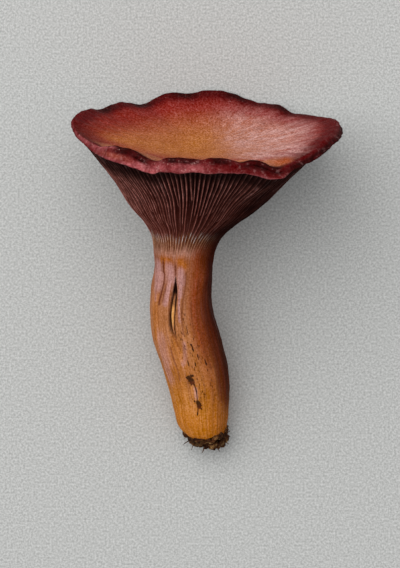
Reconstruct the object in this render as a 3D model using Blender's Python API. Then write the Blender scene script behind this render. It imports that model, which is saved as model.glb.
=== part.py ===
"""Pine spike, a wild mushroom picked with its soil and laid on its side.

Two pieces: the fruit body, which grew as one piece with its cap, gills and stem,
and the clump of soil and rootlets that came up with the foot of the stem.
The mushroom is shaped standing up, then laid over on two lobes of its cap and its foot.
"""
import bpy
import bmesh
import math
import numpy as np
from mathutils import Matrix, Vector, noise

# Every length below is in millimetres, and is turned into metres when a mesh is made.
MM = 0.001

# The standing frame: x to the right, y away from the viewer, z up, origin at the foot.
# Angles run round the cap in degrees: 0 right, 90 back, 180 left, 270 front.
RIM_HEIGHT = 104.5
RIM_RADIUS = 41.6
DISH_DEPTH = 7.6
DISH_CURVE = 2.2
WAVE_SPREAD = 4

# The waved margin: angle, height above the mean rim, extra reach, bulge and drop of the rolled lip.
RIM = [
    (0, -0.9, -1.0, 1.0, 0.5), (9, -0.8, -0.4, 0.9, 0.5), (18, -1.4, -0.1, 0.75, 0.5),
    (29, -2.7, 0.0, 0.6, 0.5), (40, -3.6, 0.2, 0.5, 0.5), (48, -4.1, 0.2, 0.5, 0.5),
    (56, -2.3, 0.6, 0.6, 0.6), (64, -2.7, 1.3, 0.6, 0.6), (70, -1.9, 0.7, 0.6, 0.6),
    (76, -0.2, -0.4, 0.6, 0.6), (85, 1.4, -1.6, 0.6, 0.6), (91, 1.4, -1.8, 0.6, 0.6),
    (97, 0.5, -1.3, 0.6, 0.6), (104, 0.4, 0.1, 0.6, 0.6), (110, 0.0, 1.2, 0.6, 0.6),
    (113, -1.2, 1.7, 0.6, 0.6), (116, -2.4, 2.0, 0.6, 0.6), (120, -2.6, 1.1, 0.6, 0.6),
    (126, -1.5, 0.5, 0.6, 0.6), (131, -0.6, 0.4, 0.6, 0.6), (137, -0.6, 0.2, 0.6, 0.6),
    (145, -1.1, 0.0, 0.6, 0.5), (154, 0.3, 0.0, 0.5, 0.45), (162, 0.9, 0.1, 0.45, 0.4),
    (170, 1.1, 0.4, 0.4, 0.38), (177, 1.0, 0.6, 0.35, 0.35), (184, -0.2, 0.2, 0.35, 0.3),
    (193, -1.2, -0.7, 0.4, 0.28), (202, -1.3, -1.2, 0.5, 0.33), (210, -1.2, -1.1, 0.7, 0.42),
    (217, -1.2, -0.7, 0.9, 0.5), (223, -0.2, 0.1, 1.1, 0.72), (231, 0.8, 0.6, 1.35, 1.0),
    (238, 0.5, 0.5, 1.3, 1.08), (243, -1.6, -0.2, 1.05, 0.86), (247, -2.5, -0.4, 0.9, 0.8),
    (252, -1.2, 0.0, 1.0, 0.87), (258, -0.5, 0.4, 1.1, 1.0), (265, -1.0, 0.0, 0.95, 0.82),
    (272, -0.4, 0.4, 1.15, 1.0), (278, -0.8, 0.3, 1.1, 0.9), (284, -2.2, -0.1, 1.0, 0.68),
    (290, -1.8, 0.0, 1.0, 1.0), (295, -3.2, 0.1, 1.1, 1.0), (301, -5.3, 0.2, 1.1, 0.6),
    (306, -4.7, -0.3, 0.95, 0.45), (313, -4.1, -1.5, 0.95, 0.45), (322, -2.9, -1.4, 0.95, 0.5),
    (331, -1.8, -1.6, 0.95, 0.5), (341, -0.7, -1.5, 1.0, 0.5), (351, -0.8, -1.3, 1.0, 0.5),
]

# The rolled lip seen in section: how far out and how far down from the crest of the rim.
LIP = [(0.0, 0.0), (0.9, -0.3), (1.5, -1.0), (1.7, -1.9), (1.9, -2.8), (2.3, -3.5),
       (2.3, -4.2), (1.6, -4.5), (0.8, -4.3), (0.2, -4.1)]

# Height and radius of the gills' outer edges, from the lip down to the stem.
CONE = [(100.4, 41.0), (96.2, 37.1), (92.1, 33.3), (88.2, 29.4), (84.3, 26.0), (80.4, 22.9),
        (76.4, 19.2), (73.8, 16.3), (71.2, 13.9), (68.5, 11.9), (65.9, 10.7), (63.2, 10.0),
        (60.5, 9.6), (57.5, 9.3)]

# Height and radius of the stem, from the gills down to its rounded foot.
STEM = [(60.5, 9.6), (57.5, 9.3), (52.5, 9.6), (47.1, 9.9), (41.8, 10.3), (36.3, 10.9),
        (31.0, 11.1), (25.5, 10.9), (20.1, 10.3), (14.6, 9.7), (9.1, 8.9), (4.6, 8.1), (2.2, 7.3),
        (0.6, 6.3), (-0.5, 4.9), (-1.2, 3.0), (-1.5, 1.2)]
FOOT_TIP = -1.6
SLOPE_STEP = 0.2

# The bend of the stem's centre line: height, how far to the right, how far back.
BEND = [(-2.0, 0.2, 0.0), (3.6, -1.1, 0.0), (9.1, -1.6, 0.1), (14.6, -2.1, 0.2), (20.1, -2.9, 0.2),
        (25.5, -4.2, 0.1), (31.0, -5.8, 0.0), (36.3, -6.9, -0.2), (41.8, -7.9, -0.3),
        (47.1, -8.2, -0.4), (52.5, -7.8, -0.3), (57.9, -7.2, 0.0), (63.2, -6.9, 0.2),
        (68.5, -5.9, 0.2), (73.8, -4.4, 0.1), (80.4, -2.9, 0.0), (92.1, -0.9, 0.0), (104.5, 0.2, 0.0)]

# Gills: 68 that run from the margin to the stem, and a short one between each two.
GILLS = 68
GILL_COLUMNS = 5
GILL_PHASES = (-0.11, 0.11, 0.30, 0.50, 0.70)
GILL_HEIGHTS = (99.2, 96.5, 91.0, 85.0, 79.0, 74.0, 70.5, 67.5, 63.5)
GILL_DEPTH = [(57.5, 0.0), (60.5, 0.14), (63.5, 0.26), (67.5, 0.5), (70.5, 0.9), (74.0, 1.3),
              (79.0, 1.7), (85.0, 2.0), (91.0, 2.1), (96.5, 1.9), (99.2, 1.3), (100.4, 0.0)]
SHORT_GILL_END = 79.0
SHORT_GILL_SPREAD = 5.0
SHORT_GILL_FADE = 4.0
SHORT_GILL_SUNK = 0.35
SHORT_GILL_TURN = 2.4
WAVE_END = 80.0

# The dish's rings, as fractions of the rim's radius, and the columns each has.
DISH_RINGS = ((0.12, 17), (0.3, 34), (0.5, 68), (0.66, 68), (0.8, 68), (0.9, 68), (0.96, 68))
STEM_COLUMNS = 68
FOOT_COLUMNS = 34
STEM_HEIGHTS = (60.5, 57.5, 54.0, 50.5, 47.1, 43.5, 40.0, 36.3, 31.0, 25.5, 20.1, 14.6, 9.1)
FOOT_HEIGHTS = (4.6, 2.2, 0.6, -0.5, -1.2)

# Shallow flutes down the stem: top and bottom height, angle at each, width in degrees, depth.
FLUTES = [(62, 47, 228, 224, 6, 0.45), (40, 8, 245, 226, 12, 0.5), (38, 22, 256, 259, 9, 0.4),
          (56, 12, 330, 318, 14, 0.4), (60, 16, 60, 40, 15, 0.5), (58, 14, 130, 145, 15, 0.5),
          (52, 20, 186, 196, 12, 0.4)]
FLUTE_FADE = 5.0

# The lens-shaped split in the front of the stem: height, angle, half width in degrees.
SPLIT = [(57.6, 254.5, 0.0), (54.4, 256.0, 2.4), (51.7, 257.0, 4.2), (47.5, 256.0, 5.6),
         (43.0, 253.0, 6.2), (39.8, 252.0, 5.0), (37.6, 253.0, 3.0), (35.8, 255.5, 0.0)]
SPLIT_DEPTH = 1.9
SPLIT_FULL_WIDTH = 6.2
SPLIT_PULL = 0.35
SPLIT_PULL_WIDTH = 24

# Laying the mushroom down: how far it leans on the floor, and how far its soft spots press flat.
LEAN = 19.0
PRESSED = 0.62

# The soil clump: its half sizes and centre standing, its lumps, and the gap to the stem.
CLUMP_SIZE = (6.5, 6.2, 3.6)
CLUMP_CENTRE = (0.7, 0.0, -0.8)
CLUMP_SUBDIVISIONS = 4
LUMP_SIZE = 2.8
LUMP_HEIGHT = 1.2
GAP = 0.34
CUTTER_HEIGHTS = (14.6, 9.1)

# Crumbs of soil fused to the clump: centre and radius.
CRUMBS = [(5.9, -2.6, 1.0, 2.0), (6.5, 1.6, 1.2, 1.8), (3.4, -4.6, -1.4, 1.7), (-4.6, -3.0, -1.3, 1.5),
          (1.2, -1.6, -3.6, 1.4), (-3.4, 3.6, -1.2, 1.6), (-1.0, -5.2, -0.8, 1.3)]
CRUMB_SUBDIVISIONS = 2

# Rootlets in the clump: angle, start height, length, rise to the tip, and turn in degrees.
ROOTLETS = [(350, 0.4, 4.2, 0.8, 20), (338, -1.4, 3.6, -0.6, -30), (300, -1.8, 3.0, -2.0, 30),
            (262, -2.0, 2.6, -2.2, -30), (226, -1.4, 3.2, -1.8, 25), (203, -1.0, 3.6, -1.6, -25),
            (184, -0.4, 3.4, -0.2, 20), (18, -0.6, 4.0, -0.6, -30), (160, -1.0, 3.2, -1.2, 30)]
ROOTLET_START = 4.2
ROOTLET_RADII = (0.5, 0.32)
ROOTLET_SIDES = 6
ROOTLET_STEPS = 5


def clear_scene():
    """Remove whatever objects the file holds."""
    for thing in list(bpy.data.objects):
        bpy.data.objects.remove(thing, do_unlink=True)


def smooth(stations, values, at, turn=None):
    """Read a smooth curve through (station, value) points; turn closes it on itself."""
    s = np.array(stations, float)
    v = np.array(values, float)
    if s[0] > s[-1]:
        s = s[::-1]
        v = v[::-1]
    if turn:
        s = np.concatenate([s[-2:] - turn, s, s[:2] + turn])
        v = np.concatenate([v[-2:], v, v[:2]])
        at = np.mod(np.asarray(at, float) - s[1], turn) + s[1]
    at = np.clip(at, s[0], s[-1])
    slope = np.gradient(v, s)
    i = np.clip(np.searchsorted(s, at, side="right") - 1, 0, len(s) - 2)
    step = s[i + 1] - s[i]
    u = (at - s[i]) / step
    rise = v[i + 1] * (3 - 2 * u) * u * u + v[i] * (1 + 2 * u) * (1 - u) ** 2
    return rise + step * u * (1 - u) * (slope[i] * (1 - u) - slope[i + 1] * u)


def column(table, n):
    """Take one column of a table of points."""
    return [row[n] for row in table]


def rim(n, angles):
    """Read one property of the waved margin at some angles."""
    return smooth(column(RIM, 0), column(RIM, n), angles, turn=360)


def bend(heights):
    """How far the stem's centre line stands off at some heights."""
    right = smooth(column(BEND, 0), column(BEND, 1), heights)
    back = smooth(column(BEND, 0), column(BEND, 2), heights)
    return right, back


def ring(radius, height, angles, level):
    """Points of one ring; level is the height at which the bend is read."""
    turn = np.radians(angles)
    right, back = bend(np.full(len(angles), float(level)))
    x = right + radius * np.cos(turn)
    y = back + radius * np.sin(turn)
    return np.stack([x, y, height + 0 * x], axis=1)


def even(columns):
    """Angles of evenly spaced columns."""
    return np.arange(columns) * 360.0 / columns


def dish_ring(fraction, columns):
    """A ring of the hollow top of the cap, whose waves grow towards the rim."""
    angles = even(columns)
    radius = fraction * (RIM_RADIUS + rim(2, angles))
    sunk = DISH_DEPTH * (1 - fraction ** DISH_CURVE)
    height = RIM_HEIGHT - sunk + rim(1, angles) * fraction ** WAVE_SPREAD
    return ring(radius, height, angles, RIM_HEIGHT)


def lip_ring(n):
    """A ring of the rolled lip, at one point of its section."""
    angles = even(GILLS)
    out, down = LIP[n]
    radius = RIM_RADIUS + rim(2, angles) + out * rim(3, angles)
    height = RIM_HEIGHT + rim(1, angles) + down * rim(4, angles)
    return ring(radius, height, angles, RIM_HEIGHT)


def ease(u):
    """Go smoothly from 0 to 1."""
    u = np.clip(u, 0, 1)
    return u * u * (3 - 2 * u)


def cone_surface(level, angles):
    """Radius and height of the gills' outer edges, under the waves of the lip."""
    top = CONE[0]
    edge_radius = RIM_RADIUS + rim(2, angles) + LIP[-1][0] * rim(3, angles)
    edge_height = RIM_HEIGHT + rim(1, angles) + LIP[-1][1] * rim(4, angles)
    share = ease((level - WAVE_END) / (top[0] - WAVE_END))
    radius = smooth(column(CONE, 0), column(CONE, 1), level) + (edge_radius - top[1]) * share
    height = level + (edge_height - top[0]) * share
    return radius, height


def gill_angles():
    """Angles of the gill columns: the two sides of a gill, a valley, a short gill, a valley."""
    phases = np.tile(GILL_PHASES, GILLS)
    return (np.repeat(np.arange(GILLS), GILL_COLUMNS) + phases) * 360.0 / GILLS


def gill_ring(level):
    """A ring across the gills, with the valleys between them sunk into the flesh."""
    angles = gill_angles()
    radius, height = cone_surface(level, angles)
    lower_radius, lower_height = cone_surface(level - SLOPE_STEP, angles)
    run = np.stack([lower_radius - radius, lower_height - height])
    run = run / np.linalg.norm(run, axis=0)
    depth = smooth(column(GILL_DEPTH, 0), column(GILL_DEPTH, 1), level)
    number = np.arange(GILLS)
    short_end = SHORT_GILL_END + SHORT_GILL_SPREAD * np.sin(number * SHORT_GILL_TURN)
    short = 1 - (1 - SHORT_GILL_SUNK) * ease((level - short_end) / SHORT_GILL_FADE)
    sunk = np.zeros((GILLS, GILL_COLUMNS))
    sunk[:, 2] = depth
    sunk[:, 3] = depth * short
    sunk[:, 4] = depth
    sunk = sunk.ravel()
    return ring(radius + run[1] * sunk, height - run[0] * sunk, angles, level)


def split_at(level):
    """Where the split's middle lies at some height, and how far it opens to each side."""
    middle = smooth(column(SPLIT, 0), column(SPLIT, 1), level)
    opening = smooth(column(SPLIT, 0), column(SPLIT, 2), level)
    return float(middle), max(float(opening), 0.0)


def stem_relief(level, angles):
    """Flutes and the split, as depths below the stem's round surface."""
    depth = np.zeros(len(angles))
    for top, bottom, from_angle, to_angle, width, deep in FLUTES:
        along = (top - level) / (top - bottom)
        middle = from_angle + (to_angle - from_angle) * along
        away = (angles - middle + 180) % 360 - 180
        ends = ease((top - level) / FLUTE_FADE) * ease((level - bottom) / FLUTE_FADE)
        depth += deep * ends * np.exp(-(away / width) ** 2)
    middle, opening = split_at(level)
    if opening > 0:
        away = np.abs((angles - middle + 180) % 360 - 180)
        deep = SPLIT_DEPTH * math.sqrt(opening / SPLIT_FULL_WIDTH)
        depth += deep * np.clip(1 - away / opening, 0, 1)
    return depth


def split_angles(columns, level):
    """Evenly spaced columns, drawn together beside the split so that it keeps its edges."""
    angles = even(columns)
    middle, opening = split_at(level)
    away = (angles - middle + 180) % 360 - 180
    pull = SPLIT_PULL * min(opening / SPLIT_FULL_WIDTH, 1.0)
    return angles - pull * away * np.exp(-(away / SPLIT_PULL_WIDTH) ** 2)


def stem_ring(level, columns, grow=0.0):
    """A ring of the stem; grow moves it outwards, for the soil clump's cutter."""
    angles = split_angles(columns, level)
    levels = (level - SLOPE_STEP, level, level + SLOPE_STEP)
    below, here, above = smooth(column(STEM, 0), column(STEM, 1), levels)
    slope = math.atan((above - below) / (2 * SLOPE_STEP))
    radius = here - stem_relief(level, angles) + grow * math.cos(slope)
    return ring(radius, level - grow * math.sin(slope), angles, level)


def lay_down(points):
    """Turn points from the standing frame to the lying one: front up, cap towards +Y."""
    lean = math.radians(LEAN)
    points = np.asarray(points, float)
    x, y, z = points[..., 0], points[..., 1], points[..., 2]
    along = z * math.cos(lean) + y * math.sin(lean)
    up = z * math.sin(lean) - y * math.cos(lean)
    return np.stack([x, along, up], axis=-1)


def add_ring(bm, points):
    """Add a ring of vertices."""
    return [bm.verts.new(Vector(point)) for point in points]


def knit(bm, upper, lower):
    """Join two rings with faces, also where one has several columns to the other's one."""
    many, few = (upper, lower) if len(upper) >= len(lower) else (lower, upper)
    ratio = len(many) // len(few)
    for i in range(len(few)):
        here = few[i]
        following = few[(i + 1) % len(few)]
        for k in range(ratio):
            a = many[i * ratio + k]
            b = many[(i * ratio + k + 1) % len(many)]
            near = here if k <= ratio // 2 else following
            corners = [a, b, near]
            if ratio == 1:
                corners = [a, b, following, here]
            bm.faces.new(corners if many is lower else corners[::-1])
            if ratio > 1 and k == ratio // 2:
                bm.faces.new([b, following, here] if many is lower else [here, following, b])


def close_end(bm, loop, point, upward):
    """Close a ring with a fan of triangles to one point."""
    tip = bm.verts.new(Vector(point))
    for i, vertex in enumerate(loop):
        following = loop[(i + 1) % len(loop)]
        bm.faces.new([vertex, following, tip] if upward else [following, vertex, tip])


def build_rings(bm, rings, top, bottom):
    """Skin a stack of rings, from the top one to the bottom one, and close both ends."""
    loops = [add_ring(bm, points) for points in rings]
    for upper, lower in zip(loops, loops[1:]):
        knit(bm, upper, lower)
    close_end(bm, loops[0], top, True)
    close_end(bm, loops[-1], bottom, False)
    bmesh.ops.triangulate(bm, faces=list(bm.faces))


def body_rings():
    """All rings of the fruit body, from the middle of the dish down to the foot."""
    rings = [dish_ring(fraction, columns) for fraction, columns in DISH_RINGS]
    rings += [lip_ring(n) for n in range(len(LIP))]
    rings += [gill_ring(level) for level in GILL_HEIGHTS]
    rings += [stem_ring(level, STEM_COLUMNS) for level in STEM_HEIGHTS]
    rings += [stem_ring(level, FOOT_COLUMNS) for level in FOOT_HEIGHTS]
    return rings


def pole(height, level):
    """The point on the centre line at some height."""
    right, back = bend(np.array([float(level)]))
    return (right[0], back[0], height)


def material(name, colour, roughness):
    """A plain material in the part's colour."""
    made = bpy.data.materials.new(name)
    made.use_nodes = True
    shader = made.node_tree.nodes["Principled BSDF"]
    shader.inputs["Base Color"].default_value = (*colour, 1.0)
    shader.inputs["Roughness"].default_value = roughness
    shader.inputs["Metallic"].default_value = 0.0
    return made


def add_object(name, bm, finish):
    """Turn a bmesh in millimetres into an object in metres."""
    bmesh.ops.recalc_face_normals(bm, faces=list(bm.faces))
    bmesh.ops.scale(bm, vec=(MM, MM, MM), verts=list(bm.verts))
    mesh = bpy.data.meshes.new(name)
    bm.to_mesh(mesh)
    bm.free()
    mesh.materials.append(finish)
    mesh.shade_smooth()
    mesh.set_sharp_from_angle(angle=math.radians(40))
    thing = bpy.data.objects.new(name, mesh)
    bpy.context.scene.collection.objects.link(thing)
    return thing


def settle(bm, place):
    """Move points to where the mushroom lies, and press flat what would sink in the floor."""
    for vertex in bm.verts:
        vertex.co += place
        vertex.co.z = max(vertex.co.z, 0.0)


def make_fruit_body():
    """Cap, gills and stem, grown as one piece."""
    bm = bmesh.new()
    rings = [lay_down(points) for points in body_rings()]
    top = lay_down(pole(RIM_HEIGHT - DISH_DEPTH, RIM_HEIGHT))
    bottom = lay_down(pole(FOOT_TIP, FOOT_TIP))
    build_rings(bm, rings, top, bottom)
    return bm


def resting_place(bm):
    """Where the lying fruit body goes: over the origin, its low points on the floor."""
    low = Vector([min(vertex.co[axis] for vertex in bm.verts) for axis in range(3)])
    high = Vector([max(vertex.co[axis] for vertex in bm.verts) for axis in range(3)])
    middle = (low + high) / 2
    return Vector((-middle.x, -middle.y, -low.z - PRESSED))


def make_lump(centre, size, subdivisions):
    """A lumpy ball of soil, standing, made of a ball pushed in and out by noise."""
    bm = bmesh.new()
    bmesh.ops.create_icosphere(bm, subdivisions=subdivisions, radius=1.0)
    for vertex in bm.verts:
        at = Vector([vertex.co[axis] * size[axis] for axis in range(3)]) + Vector(centre)
        lump = LUMP_HEIGHT * noise.noise(at / LUMP_SIZE)
        vertex.co = at + vertex.co * lump
    return bm


def make_rootlet(angle, height, length, rise, turn):
    """One thin root, tapering as it bends away from the stem."""
    bm = bmesh.new()
    loops = []
    point = Vector((ROOTLET_START, 0.0, height))
    step = length / ROOTLET_STEPS
    for n in range(ROOTLET_STEPS + 1):
        along = n / ROOTLET_STEPS
        heading = math.radians(turn * along)
        radius = ROOTLET_RADII[0] + (ROOTLET_RADII[1] - ROOTLET_RADII[0]) * along
        side = Vector((-math.sin(heading), math.cos(heading), 0.0))
        loop = []
        for k in range(ROOTLET_SIDES):
            round_angle = math.tau * k / ROOTLET_SIDES
            offset = side * math.cos(round_angle) + Vector((0, 0, 1)) * math.sin(round_angle)
            loop.append(bm.verts.new(point + offset * radius))
        loops.append(loop)
        lift = Vector((0, 0, 2 * rise * along / ROOTLET_STEPS))
        point = point + step * Vector((math.cos(heading), math.sin(heading), 0.0)) + lift
    for first, second in zip(loops, loops[1:]):
        for k in range(ROOTLET_SIDES):
            following = (k + 1) % ROOTLET_SIDES
            bm.faces.new([first[k], first[following], second[following], second[k]])
    bm.faces.new(loops[0][::-1])
    bm.faces.new(loops[-1])
    spin = Matrix.Rotation(math.radians(angle), 3, "Z")
    bmesh.ops.rotate(bm, cent=(0, 0, 0), matrix=spin, verts=list(bm.verts))
    return bm


def make_foot_cutter():
    """The foot of the stem, a gap wider all round, to hollow the clump with."""
    bm = bmesh.new()
    rings = [stem_ring(level, FOOT_COLUMNS, GAP) for level in CUTTER_HEIGHTS + FOOT_HEIGHTS]
    build_rings(bm, rings, pole(CUTTER_HEIGHTS[0], CUTTER_HEIGHTS[0]), pole(FOOT_TIP - GAP, FOOT_TIP))
    return bm


def lay_mesh(bm):
    """Turn a standing bmesh into the lying frame."""
    for vertex in bm.verts:
        vertex.co = Vector(lay_down(vertex.co))


def apply_boolean(thing, operation, target):
    """Join or cut an object with another object or a whole collection, and keep the result."""
    tool = thing.modifiers.new(operation.title(), "BOOLEAN")
    tool.operation = operation
    tool.solver = "EXACT"
    if isinstance(target, bpy.types.Collection):
        tool.operand_type = "COLLECTION"
        tool.collection = target
        spent = list(target.objects)
    else:
        tool.object = target
        spent = [target]
    bpy.context.view_layer.objects.active = thing
    bpy.ops.object.modifier_apply(modifier=tool.name)
    for leftover in spent:
        bpy.data.objects.remove(leftover, do_unlink=True)


def add_lying(name, bm, place, finish):
    """Lay a standing bmesh down where the mushroom lies, and make it an object."""
    lay_mesh(bm)
    settle(bm, place)
    return add_object(name, bm, finish)


def make_soil_clump(place, finish):
    """Soil packed round the foot, with crumbs and rootlets fused into it."""
    clump = add_lying("soil_clump", make_lump(CLUMP_CENTRE, CLUMP_SIZE, CLUMP_SUBDIVISIONS), place, finish)
    extras = bpy.data.collections.new("crumbs_and_rootlets")
    bpy.context.scene.collection.children.link(extras)
    pieces = [make_lump(row[:3], [row[3]] * 3, CRUMB_SUBDIVISIONS) for row in CRUMBS]
    pieces += [make_rootlet(*row) for row in ROOTLETS]
    for n, piece in enumerate(pieces):
        thing = add_lying("soil_piece_%d" % n, piece, place, finish)
        extras.objects.link(thing)
        bpy.context.scene.collection.objects.unlink(thing)
    apply_boolean(clump, "UNION", extras)
    bpy.data.collections.remove(extras)
    cutter_mesh = make_foot_cutter()
    lay_mesh(cutter_mesh)
    bmesh.ops.translate(cutter_mesh, vec=place, verts=list(cutter_mesh.verts))
    cutter = add_object("foot_cutter", cutter_mesh, finish)
    apply_boolean(clump, "DIFFERENCE", cutter)
    return clump


def centre(things):
    """Slide the finished pieces together so that they lie centred over the origin."""
    points = np.array([vertex.co for thing in things for vertex in thing.data.vertices])
    middle = (points.min(axis=0) + points.max(axis=0)) / 2
    for thing in things:
        thing.data.transform(Matrix.Translation((-middle[0], -middle[1], 0.0)))
    return middle


clear_scene()
body_mesh = make_fruit_body()
place = resting_place(body_mesh)
settle(body_mesh, place)
body = add_object("fruit_body", body_mesh, material("fungus_flesh", (0.36, 0.12, 0.05), 0.5))
clump = make_soil_clump(place, material("damp_soil", (0.035, 0.018, 0.01), 0.95))
off_centre = centre([body, clump])
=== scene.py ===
# %% [markdown]
# # Pine spike
# A pine spike is a wild mushroom. Its cap is a shallow, wine red dish with a thick rolled
# margin, its dark gills run far down a bent, ochre stem, and a clump of soil holds its foot.
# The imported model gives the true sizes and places. This lesson models a finer skin over it,
# paints that skin with procedural materials, and lights it as a picked mushroom on a table.

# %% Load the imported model
import math
import bpy
import numpy as np
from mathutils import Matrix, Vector, noise


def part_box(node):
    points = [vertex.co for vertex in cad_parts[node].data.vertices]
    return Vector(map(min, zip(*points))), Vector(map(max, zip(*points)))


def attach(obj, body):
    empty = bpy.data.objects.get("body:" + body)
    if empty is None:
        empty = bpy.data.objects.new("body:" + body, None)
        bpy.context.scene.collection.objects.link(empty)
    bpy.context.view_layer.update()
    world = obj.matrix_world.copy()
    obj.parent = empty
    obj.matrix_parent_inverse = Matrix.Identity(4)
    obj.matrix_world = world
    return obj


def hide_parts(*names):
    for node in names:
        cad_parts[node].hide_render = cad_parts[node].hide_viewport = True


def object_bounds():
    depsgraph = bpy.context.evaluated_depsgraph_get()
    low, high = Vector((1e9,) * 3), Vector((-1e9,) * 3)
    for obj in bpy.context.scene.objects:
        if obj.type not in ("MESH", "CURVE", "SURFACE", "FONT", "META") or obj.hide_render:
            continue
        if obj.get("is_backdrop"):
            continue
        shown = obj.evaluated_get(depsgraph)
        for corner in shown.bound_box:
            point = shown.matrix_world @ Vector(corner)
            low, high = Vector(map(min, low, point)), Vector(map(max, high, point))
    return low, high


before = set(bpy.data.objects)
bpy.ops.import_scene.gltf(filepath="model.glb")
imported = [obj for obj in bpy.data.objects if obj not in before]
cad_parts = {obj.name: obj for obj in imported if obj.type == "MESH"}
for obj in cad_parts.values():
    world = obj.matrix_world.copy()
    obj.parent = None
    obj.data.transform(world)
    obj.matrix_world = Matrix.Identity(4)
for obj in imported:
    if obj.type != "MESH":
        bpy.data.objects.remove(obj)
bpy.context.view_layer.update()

MM = 0.001

# %% [markdown]
# ## The measures of the mushroom
# The shape is worked out standing up: x to the right, y away from the viewer, z up, and
# angles from 0 at the right through 90 at the back to 270 at the front. These are the packed
# model's own measures, in millimetres. They could be read off its mesh, but tables are
# easier to follow, and a smooth curve through them gives any number of rows and columns.

# %% The waved margin: angle, height, reach, bulge and drop of the rolled lip
RIM_HEIGHT = 104.5
RIM_RADIUS = 41.6
DISH_DEPTH = 7.6
DISH_CURVE = 2.2
GILLS_TOP = 100.4
STEM_TOP = 57.5
RIM = [
    (0, -0.9, -1, 1, 0.5), (9, -0.8, -0.4, 0.9, 0.5), (18, -1.4, -0.1, 0.75, 0.5),
    (29, -2.7, 0, 0.6, 0.5), (40, -3.6, 0.2, 0.5, 0.5), (48, -4.1, 0.2, 0.5, 0.5),
    (56, -2.3, 0.6, 0.6, 0.6), (64, -2.7, 1.3, 0.6, 0.6), (70, -1.9, 0.7, 0.6, 0.6),
    (76, -0.2, -0.4, 0.6, 0.6), (85, 1.4, -1.6, 0.6, 0.6), (91, 1.4, -1.8, 0.6, 0.6),
    (97, 0.5, -1.3, 0.6, 0.6), (104, 0.4, 0.1, 0.6, 0.6), (110, 0, 1.2, 0.6, 0.6),
    (113, -1.2, 1.7, 0.6, 0.6), (116, -2.4, 2, 0.6, 0.6), (120, -2.6, 1.1, 0.6, 0.6),
    (126, -1.5, 0.5, 0.6, 0.6), (131, -0.6, 0.4, 0.6, 0.6), (137, -0.6, 0.2, 0.6, 0.6),
    (145, -1.1, 0, 0.6, 0.5), (154, 0.3, 0, 0.5, 0.45), (162, 0.9, 0.1, 0.45, 0.4),
    (170, 1.1, 0.4, 0.4, 0.38), (177, 1, 0.6, 0.35, 0.35), (184, -0.2, 0.2, 0.35, 0.3),
    (193, -1.2, -0.7, 0.4, 0.28), (202, -1.3, -1.2, 0.5, 0.33), (210, -1.2, -1.1, 0.7, 0.42),
    (217, -1.2, -0.7, 0.9, 0.5), (223, -0.2, 0.1, 1.1, 0.72), (231, 0.8, 0.6, 1.35, 1),
    (238, 0.5, 0.5, 1.3, 1.08), (243, -1.6, -0.2, 1.05, 0.86), (247, -2.5, -0.4, 0.9, 0.8),
    (252, -1.2, 0, 1, 0.87), (258, -0.5, 0.4, 1.1, 1), (265, -1, 0, 0.95, 0.82),
    (272, -0.4, 0.4, 1.15, 1), (278, -0.8, 0.3, 1.1, 0.9), (284, -2.2, -0.1, 1, 0.68),
    (290, -1.8, 0, 1, 1), (295, -3.2, 0.1, 1.1, 1), (301, -5.3, 0.2, 1.1, 0.6),
    (306, -4.7, -0.3, 0.95, 0.45), (313, -4.1, -1.5, 0.95, 0.45), (322, -2.9, -1.4, 0.95, 0.5),
    (331, -1.8, -1.6, 0.95, 0.5), (341, -0.7, -1.5, 1, 0.5), (351, -0.8, -1.3, 1, 0.5)]

# %% Section of the lip, slope under the gills, stem and its bend
LIP = [
    (0, 0), (0.9, -0.3), (1.5, -1), (1.7, -1.9), (1.9, -2.8), (2.3, -3.5), (2.3, -4.2), (1.6, -4.5),
    (0.8, -4.3), (0.2, -4.1)]
CONE = [
    (100.4, 41), (96.2, 37.1), (92.1, 33.3), (88.2, 29.4), (84.3, 26), (80.4, 22.9), (76.4, 19.2),
    (73.8, 16.3), (71.2, 13.9), (68.5, 11.9), (65.9, 10.7), (63.2, 10), (60.5, 9.6), (57.5, 9.3)]
STEM = [
    (60.5, 9.6), (57.5, 9.3), (52.5, 9.6), (47.1, 9.9), (41.8, 10.3), (36.3, 10.9), (31, 11.1),
    (25.5, 10.9), (20.1, 10.3), (14.6, 9.7), (9.1, 8.9), (4.6, 8.1), (2.2, 7.3), (0.6, 6.3),
    (-0.5, 4.9), (-1.2, 3), (-1.5, 1.2)]
FOOT_TIP = -1.6
BEND = [
    (-2, 0.2, 0), (3.6, -1.1, 0), (9.1, -1.6, 0.1), (14.6, -2.1, 0.2), (20.1, -2.9, 0.2),
    (25.5, -4.2, 0.1), (31, -5.8, 0), (36.3, -6.9, -0.2), (41.8, -7.9, -0.3), (47.1, -8.2, -0.4),
    (52.5, -7.8, -0.3), (57.9, -7.2, 0), (63.2, -6.9, 0.2), (68.5, -5.9, 0.2), (73.8, -4.4, 0.1),
    (80.4, -2.9, 0), (92.1, -0.9, 0), (104.5, 0.2, 0)]
GILL_DEPTH = [
    (57.5, 0), (60.5, 0.14), (63.5, 0.26), (67.5, 0.5), (70.5, 0.9), (74, 1.3), (79, 1.7), (85, 2),
    (91, 2.1), (96.5, 1.9), (99.2, 1.3), (100.4, 0)]
print("points on the margin:", len(RIM))


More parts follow.
